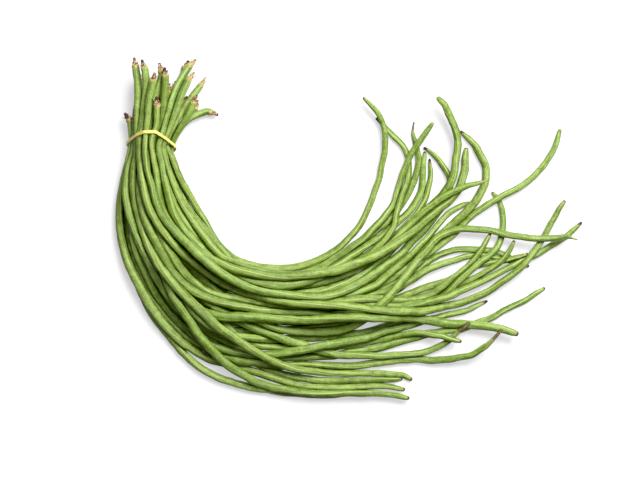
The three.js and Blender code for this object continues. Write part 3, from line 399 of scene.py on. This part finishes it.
class Pod:
    """A pod's skin and its dried teeth in one mesh, with the values its finish reads."""

    def __init__(self, node, number):
        self.node = node
        self.number = number
        self.growth = GROWTH_STEP * number
        self.chance = random.Random(number)
        self.beak = BEAKS[BEAK_OF.get(number, "plain")]
        self.stub = STUBS[STUB_OF.get(number, "brown")]
        self.line = Line(*middle_line(node))
        self.marks = ring_marks(self.line.length)
        self.sections = [self.line.at(mark) for mark in self.marks]
        self.frames = turned_frames([middle for middle, radius in self.sections])
        self.turn_start = self.chance.uniform(0, 2 * math.pi)
        self.turn_way = self.chance.choice((-1, 1))
        self.seeds = SEED_SWELL * self.chance.uniform(*SEED_VIGOURS)
        self.tone = random.Random(number * TONE_SEED).random()
        self.back_radius = self.line.at(self.line.length - END_REACH)[1]
        self.skin = bmesh.new()
        layers = self.skin.verts.layers
        self.values = {name: layers.float.new(name)
                       for name in ("tone", "seed", "black", "dry", "straw", "stem", "painted_shade")}
        self.straight = layers.float_vector.new("straight")

    def radius_at(self, i):
        """The smooth skin's radius at a ring: the solid's, but fuller, with its own beak and stub."""
        place = self.marks[i]
        to_beak = self.line.length - place
        radius = self.sections[i][1]
        if to_beak < END_REACH:
            radius = self.back_radius * along_shape(self.beak["shape"], to_beak)
        packed = min(1, max(0, (place - TIED_REACH) / (PACKED_FROM - TIED_REACH)))
        girth = TIED_GIRTH + (PACKED_GIRTH - TIED_GIRTH) * packed
        radius *= 1 + girth + (FREE_GIRTH - girth) * freedom(to_beak)
        if place < SHOULDER:
            thick = min(1, (SHOULDER - place) / (SHOULDER_SHARE * SHOULDER))
            radius *= 1 + thick * (self.stub["girth"] - 1)
        return radius

    def finish_at(self, vert, place, seed, straight):
        """Keeps on a corner what the finish reads: how dry it is there, and its place on the pod."""
        to_beak = self.line.length - place
        looks = self.stub if place < to_beak else self.beak
        distance = min(place, to_beak)
        vert[self.values["black"]] = reach_of(distance, looks["black"])
        vert[self.values["dry"]] = reach_of(distance, looks["dry"])
        vert[self.values["straw"]] = reach_of(distance, looks["straw"])
        vert[self.values["stem"]] = 1.0 if place < to_beak else 0.0
        vert[self.values["seed"]] = seed
        vert[self.values["tone"]] = self.tone
        vert[self.straight] = straight

    def roll_skin(self):
        """A sheet of rings by sides, rolled round the bean's middle line."""
        last = len(self.marks) - 1
        sheet = bmesh.ops.create_grid(self.skin, x_segments=SIDES, y_segments=last, size=0.5)
        for vert in sheet["verts"]:
            around = 2 * math.pi * (vert.co.x + 0.5)
            i = round((vert.co.y + 0.5) * last)
            place = self.marks[i]
            to_beak = self.line.length - place
            radius = self.radius_at(i)
            right, up = self.frames[i]
            own_angle = around + self.turn_start + self.turn_way * 2 * math.pi * place / TWIST_LENGTH
            share = swelling(place, own_angle, to_beak, self.growth, self.seeds)
            share += wrinkle(place, own_angle, self.growth)
            reach = radius * share * rounded_end(place) * rounded_end(to_beak)
            sideways = wandering(place, to_beak, self.growth)
            centre = self.sections[i][0] + sideways.dot(right) * right + sideways.dot(up) * up
            centre.z = max(centre.z, reach + FLOOR_GAP)
            vert.co = centre + reach * (math.cos(around) * right + math.sin(around) * up)
            own = Vector((math.cos(own_angle), math.sin(own_angle), 0)) * radius
            self.finish_at(vert, place, share - 1, own + Vector((0, 0, place + self.growth)))
        bmesh.ops.remove_doubles(self.skin, verts=self.skin.verts, dist=MERGE)

    def grow_teeth(self):
        """Dried teeth round the stub, each a small sheet bent outwards and given a thickness."""
        i = min(range(len(self.marks)), key=lambda k: abs(self.marks[k] - TOOTH_PLACE))
        middle = self.sections[i][0]
        outward_end = (self.sections[0][0] - self.sections[i + 2][0]).normalized()
        right, up = self.frames[i]
        radius = self.radius_at(i)
        start = self.chance.uniform(0, 2 * math.pi)
        for tooth in range(TEETH):
            angle = start + 2 * math.pi * tooth / TEETH + self.chance.uniform(-TOOTH_SHIFT, TOOTH_SHIFT)
            outward = math.cos(angle) * right + math.sin(angle) * up
            side = outward_end.cross(outward)
            length = TOOTH_LENGTH * self.chance.uniform(*TOOTH_LENGTHS)
            flare = self.chance.uniform(*TOOTH_FLARES)
            curl = self.chance.uniform(*TOOTH_CURLS)
            sheet = bmesh.ops.create_grid(self.skin, x_segments=2, y_segments=4, size=0.5)
            for vert in sheet["verts"]:
                along = vert.co.y + 0.5
                across = vert.co.x * TOOTH_WIDTH * (1 - TOOTH_TAPER * along ** 1.5)
                rise = radius * TOOTH_ROOT + length * flare * along ** 2
                vert.co = (middle + outward * rise + outward_end * along * length
                           + side * (across + curl * length * along ** 2))
                vert.co.z = max(vert.co.z, FLOOR_GAP + TOOTH_THICKNESS)
                place = TOOTH_PLACE * (1 - TOOTH_TAPER * along)
                self.finish_at(vert, place, 0, Vector((across, angle * radius, place + self.growth)))
            faces = list(dict.fromkeys(face for vert in sheet["verts"] for face in vert.link_faces))
            bmesh.ops.solidify(self.skin, geom=faces, thickness=TOOTH_THICKNESS)

    def make(self, crowd):
        """The finished piece, its skin marked for painted shade where the other pods of the crowd are
        near.
        """
        self.roll_skin()
        self.grow_teeth()
        for vert in self.skin.verts:
            vert[self.values["painted_shade"]] = crowd.painted_shade_at(vert.co, self.number)
        bmesh.ops.recalc_face_normals(self.skin, faces=self.skin.faces)
        self.skin.verts.index_update()
        self.skin.faces.sort(key=face_rank)
        for face in self.skin.faces:
            face.smooth = True
        finished(self.skin, f"{self.node}_skin", bean_skin, self.node)


def face_rank(face):
    """A number from a face's corners, to put the faces in the same order in every run."""
    first, second, third = sorted(vert.index for vert in face.verts)[:3]
    return (first * MANY + second) * MANY + third


def finished(bm, name, material, node):
    """Turns a bmesh into a piece that stands for a node of the frame."""
    mesh = bpy.data.meshes.new(name)
    bm.to_mesh(mesh)
    bm.free()
    mesh.materials.append(material)
    piece = bpy.data.objects.new(name, mesh)
    bpy.context.scene.collection.objects.link(piece)
    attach(piece, "root")
    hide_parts(node)
    return piece


# ---- Materials ----

def connect(tree, socket, value):
    if isinstance(value, bpy.types.NodeSocket):
        tree.links.new(value, socket)
    else:
        socket.default_value = value


def new_material(name):
    material = bpy.data.materials.new(name)
    material.use_nodes = True
    tree = material.node_tree
    return material, tree, tree.nodes["Principled BSDF"]


def attribute(tree, name, output="Fac"):
    node = tree.nodes.new("ShaderNodeAttribute")
    node.attribute_name = name
    return node.outputs[output]


def mix(tree, factor, a, b):
    node = tree.nodes.new("ShaderNodeMix")
    node.data_type = "RGBA"
    connect(tree, node.inputs[0], factor)
    connect(tree, node.inputs[6], a)
    connect(tree, node.inputs[7], b)
    return node.outputs[2]


def calculate(tree, operation, a, b=0.0, c=0.0):
    node = tree.nodes.new("ShaderNodeMath")
    node.operation = operation
    connect(tree, node.inputs[0], a)
    connect(tree, node.inputs[1], b)
    connect(tree, node.inputs[2], c)
    return node.outputs[0]


def between(tree, value, low, high, to_low=0.0, to_high=1.0):
    """A mask that runs from to_low where the value is low to to_high where it is high."""
    node = tree.nodes.new("ShaderNodeMapRange")
    node.interpolation_type = "SMOOTHSTEP"
    connect(tree, node.inputs["Value"], value)
    connect(tree, node.inputs["From Min"], low)
    connect(tree, node.inputs["From Max"], high)
    connect(tree, node.inputs["To Min"], to_low)
    connect(tree, node.inputs["To Max"], to_high)
    return node.outputs["Result"]


def add_bump(tree, shader, height, strength, distance):
    bump = tree.nodes.new("ShaderNodeBump")
    bump.inputs["Strength"].default_value = strength
    bump.inputs["Distance"].default_value = distance
    tree.links.new(height, bump.inputs["Height"])
    tree.links.new(bump.outputs["Normal"], shader.inputs["Normal"])


def make_grain_group():
    """Fine uneven grain: a mask from noise that can be drawn out along the surface."""
    tree = bpy.data.node_groups.new("grain", "ShaderNodeTree")
    for name in ("Place", "Drawn Out"):
        tree.interface.new_socket(name, in_out="INPUT", socket_type="NodeSocketVector")
    for name in ("Scale", "Low", "High"):
        tree.interface.new_socket(name, in_out="INPUT", socket_type="NodeSocketFloat")
    tree.interface.new_socket("Mask", in_out="OUTPUT", socket_type="NodeSocketFloat")
    entry = tree.nodes.new("NodeGroupInput")
    stretch = tree.nodes.new("ShaderNodeVectorMath")
    stretch.operation = "MULTIPLY"
    tree.links.new(entry.outputs["Place"], stretch.inputs[0])
    tree.links.new(entry.outputs["Drawn Out"], stretch.inputs[1])
    clouds = tree.nodes.new("ShaderNodeTexNoise")
    clouds.inputs["Detail"].default_value = 3.0
    clouds.inputs["Roughness"].default_value = 0.58
    tree.links.new(stretch.outputs["Vector"], clouds.inputs["Vector"])
    tree.links.new(entry.outputs["Scale"], clouds.inputs["Scale"])
    mask = between(tree, clouds.outputs["Fac"], entry.outputs["Low"], entry.outputs["High"])
    leave = tree.nodes.new("NodeGroupOutput")
    tree.links.new(mask, leave.inputs["Mask"])
    return tree


def grain(tree, place, scale, drawn_out=(1, 1, 1), low=0.3, high=0.7):
    """A mask of grain at so many to the metre; where drawn_out is small, it runs long."""
    node = tree.nodes.new("ShaderNodeGroup")
    node.node_tree = grain_group
    connect(tree, node.inputs["Place"], place)
    node.inputs["Drawn Out"].default_value = drawn_out
    node.inputs["Scale"].default_value = scale
    node.inputs["Low"].default_value = low
    node.inputs["High"].default_value = high
    return node.outputs["Mask"]


def green_skin(tree, straight, fibres, pores, blotches):
    """The pod's greens: marks along it, specks and wrinkles, lighter over its seeds."""
    tone = attribute(tree, "tone")
    seed = attribute(tree, "seed")
    streaks = grain(tree, straight, 300, (1, 1, 0.035), 0.34, 0.66)
    dapples = grain(tree, straight, 330, (1, 1, 0.45), 0.32, 0.66)
    wrinkles = grain(tree, straight, 760, (0.3, 0.3, 1), 0.34, 0.64)
    zones = grain(tree, straight, 26, (1, 1, 0.6))
    green = mix(tree, tone, *GREENS)
    light_green = mix(tree, tone, *LIGHT_GREENS)
    colour = mix(tree, between(tree, blotches, 0.0, 1.0, 0.2, 0.45), green, light_green)
    for mask, start, end, strength, tint in (
            (zones, 0.0, 1.0, 0.35, light_green),
            (fibres, 0.5, 1.0, 0.80, FIBRE_LIGHT),
            (fibres, 0.45, 0.0, 0.65, FIBRE_DARK),
            (pores, 0.5, 0.0, 0.45, PORE_DARK),
            (dapples, 0.5, 1.0, 0.30, light_green),
            (pores, 0.55, 1.0, 0.45, light_green),
            (wrinkles, 0.5, 1.0, 0.40, light_green),
            (wrinkles, 0.5, 0.0, 0.40, PORE_DARK),
            (dapples, 0.5, 0.0, 0.22, DAPPLE_DARK),
            (streaks, 0.5, 1.0, 0.60, STREAK_LIGHT),
            (streaks, 0.5, 0.0, 0.55, STREAK_DARK),
            (seed, 0.01, 0.07, 0.35, light_green),
            (seed, -0.01, -0.07, 0.40, HOLLOW_DARK)):
        colour = mix(tree, between(tree, mask, start, end, 0.0, strength), colour, tint)
    return colour


def with_seams(tree, straight, colour):
    """Adds the two pale seams along the pod, each between two dark grooves."""
    parts = tree.nodes.new("ShaderNodeSeparateXYZ")
    tree.links.new(straight, parts.inputs[0])
    seam_side = between(tree, calculate(tree, "ABSOLUTE", parts.outputs["X"]), 0.0, 0.0012)
    seam_off = calculate(tree, "ABSOLUTE", parts.outputs["Y"])
    seam = calculate(tree, "MULTIPLY", seam_side, between(tree, seam_off, 0.0007, 0.0002))
    colour = mix(tree, calculate(tree, "MULTIPLY", seam, 0.5), colour, SEAM_PALE)
    groove_off = calculate(tree, "ABSOLUTE", calculate(tree, "SUBTRACT", seam_off, 0.0011))
    groove = calculate(tree, "MULTIPLY", seam_side, between(tree, groove_off, 0.0005, 0.0))
    return mix(tree, calculate(tree, "MULTIPLY", groove, 0.45), colour, GROOVE_DARK)


def with_dried_ends(tree, straight, colour, pores, blotches):
    """Adds the straw yellow, brown and black of both ends, and gives the mask of what is dry."""
    stem = attribute(tree, "stem")
    flecks = grain(tree, straight, 800, (1, 1, 0.7), 0.42, 0.60)
    ragged = calculate(tree, "MULTIPLY_ADD", pores, 0.5, -0.25)
    ragged = calculate(tree, "ADD", ragged, calculate(tree, "MULTIPLY_ADD", blotches, 0.4, -0.2))

    def reached(name, edge):
        return between(tree, calculate(tree, "ADD", attribute(tree, name), ragged), 0.0, edge)

    peach = mix(tree, blotches, *STEM_PEACH)
    peach = mix(tree, between(tree, flecks, 0.5, 0.0, 0.0, 0.55), peach, STEM_FLECK)
    dry = reached("dry", 0.2)
    dried = mix(tree, stem, mix(tree, flecks, *BEAK_DRIED), mix(tree, flecks, *STEM_DRIED))
    colour = mix(tree, reached("straw", 0.35), colour, mix(tree, stem, BEAK_STRAW, peach))
    colour = mix(tree, dry, colour, dried)
    colour = mix(tree, reached("black", 0.3), colour, mix(tree, stem, BEAK_BLACK, STEM_BLACK))
    return colour, dry


def make_bean_skin():
    material, tree, shader = new_material("bean_skin")
    straight = attribute(tree, "straight", "Vector")
    fibres = grain(tree, straight, 560, (1, 1, 0.07))
    pores = grain(tree, straight, 560, (1, 1, 0.7), 0.30, 0.68)
    blotches = grain(tree, straight, 150, (1, 1, 0.4))
    specks = grain(tree, straight, 420, (1, 1, 0.7), 0.70, 0.76)
    # painted shade: the skin is darkened towards near black where another pod is near
    painted_shade = between(tree, attribute(tree, "painted_shade"), 0.1, 0.9, 0.0, 0.95)
    colour = green_skin(tree, straight, fibres, pores, blotches)
    colour = with_seams(tree, straight, colour)
    colour = mix(tree, calculate(tree, "MULTIPLY", specks, 0.75), colour, SPECK_BROWN)
    colour, dry = with_dried_ends(tree, straight, colour, pores, blotches)
    # the painted shade between touching pods goes over all other colours
    colour = mix(tree, painted_shade, colour, PAINTED_SHADE_DARK)
    tree.links.new(colour, shader.inputs["Base Color"])
    matt = calculate(tree, "MULTIPLY_ADD", dry, 0.3, 0.52)
    matt = calculate(tree, "MULTIPLY_ADD", painted_shade, 0.4, matt)
    tree.links.new(matt, shader.inputs["Roughness"])
    shader.inputs["Specular IOR Level"].default_value = 0.3
    height = calculate(tree, "MULTIPLY_ADD", fibres, 0.9, pores)
    add_bump(tree, shader, height, strength=0.6, distance=0.0003)
    return material


def make_band_rubber():
    material, tree, shader = new_material("band_rubber")
    place = tree.nodes.new("ShaderNodeTexCoord").outputs["Object"]
    clouds = grain(tree, place, 300)
    dust = grain(tree, place, 1500)
    colour = mix(tree, clouds, *BAND_YELLOWS)
    colour = mix(tree, between(tree, dust, 0.0, 1.0, 0.0, 0.3), colour, BAND_DUST)
    tree.links.new(colour, shader.inputs["Base Color"])
    shader.inputs["Roughness"].default_value = 0.42
    add_bump(tree, shader, dust, strength=0.3, distance=0.0001)
    return material


def make_floor_white():
    material, tree, shader = new_material("floor_white")
    shader.inputs["Base Color"].default_value = FLOOR_COLOUR
    shader.inputs["Roughness"].default_value = 0.9
    shader.inputs["Specular IOR Level"].default_value = 0.0
    shader.inputs["Emission Color"].default_value = WHITE
    shader.inputs["Emission Strength"].default_value = FLOOR_GLOW
    return material


# ---- The band ----

def make_band():
    """The tie: the solid's loop with its long edges rounded."""
    node = "rubber_band"
    band = bmesh.new()
    band.from_mesh(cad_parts[node].data)
    bmesh.ops.remove_doubles(band, verts=band.verts, dist=MERGE)
    bmesh.ops.join_triangles(band, faces=band.faces, angle_face_threshold=ANY_ANGLE,
                             angle_shape_threshold=ANY_ANGLE)
    bmesh.ops.recalc_face_normals(band, faces=band.faces)
    for vert in band.verts:
        vert.co += noise.noise_vector(vert.co * BAND_UNEVEN_RATE) * BAND_UNEVEN
    sharp = [edge for edge in band.edges if edge.calc_face_angle(0) > SHARP]
    bmesh.ops.bevel(band, geom=sharp, offset=BAND_ROUNDING, offset_type="OFFSET", segments=2, profile=0.5,
                    affect="EDGES", material=-1)
    for face in band.faces:
        face.smooth = True
    piece = finished(band, "rubber_band_tie", band_rubber, node)
    rounding = piece.modifiers.new("rounding", "SUBSURF")
    rounding.levels = 2
    rounding.render_levels = 2


# ---- The stage ----

def make_floor():
    floor = bmesh.new()
    bmesh.ops.create_grid(floor, x_segments=1, y_segments=1, size=FLOOR_SIZE)
    mesh = bpy.data.meshes.new("floor")
    floor.to_mesh(mesh)
    floor.free()
    mesh.materials.append(make_floor_white())
    plane = bpy.data.objects.new("floor", mesh)
    bpy.context.scene.collection.objects.link(plane)


def add_area(name, start, size, power):
    """A round soft light that shines on the bunch from a place told from the point under the camera."""
    light = bpy.data.lights.new(name, "AREA")
    light.shape = "DISK"
    light.size = size
    light.energy = power
    lamp = bpy.data.objects.new(name, light)
    place = CAMERA_OVER + start
    lamp.location = place
    lamp.rotation_euler = (CAMERA_OVER - place).to_track_quat("-Z", "Y").to_euler()
    bpy.context.scene.collection.objects.link(lamp)


def set_light():
    scene = bpy.context.scene
    scene.view_settings.view_transform = "Standard"
    scene.view_settings.use_curve_mapping = True
    scene.view_settings.curve_mapping.black_level = (BLACK_LEVEL, BLACK_LEVEL, BLACK_LEVEL)
    world = bpy.data.worlds.new("studio")
    scene.world = world
    world.use_nodes = True
    background = world.node_tree.nodes["Background"]
    background.inputs["Color"].default_value = WHITE
    background.inputs["Strength"].default_value = WORLD_LIGHT
    add_area("key", KEY_FROM, KEY_SIZE, KEY_POWER)
    add_area("soft_top", TOP_FROM, TOP_SIZE, TOP_POWER)


def set_camera():
    """A camera straight above the bunch, whose width fills the view."""
    camera_data = bpy.data.cameras.new("camera")
    camera_data.sensor_width = SENSOR
    camera_data.lens = SENSOR * (CAMERA_HEIGHT - CAMERA_OVER.z) / VIEW_WIDTH
    camera = bpy.data.objects.new("camera", camera_data)
    camera.location = Vector((CAMERA_OVER.x, CAMERA_OVER.y, CAMERA_HEIGHT))
    bpy.context.scene.collection.objects.link(camera)
    bpy.context.scene.camera = camera


# ---- The whole scene ----

grain_group = make_grain_group()
bean_skin = make_bean_skin()
band_rubber = make_band_rubber()
pods = [Pod(node, number) for number, node in enumerate(BEANS, 1)]
crowd = Crowd(pods)
for pod in pods:
    pod.make(crowd)
make_band()
make_floor()
set_light()
set_camera()
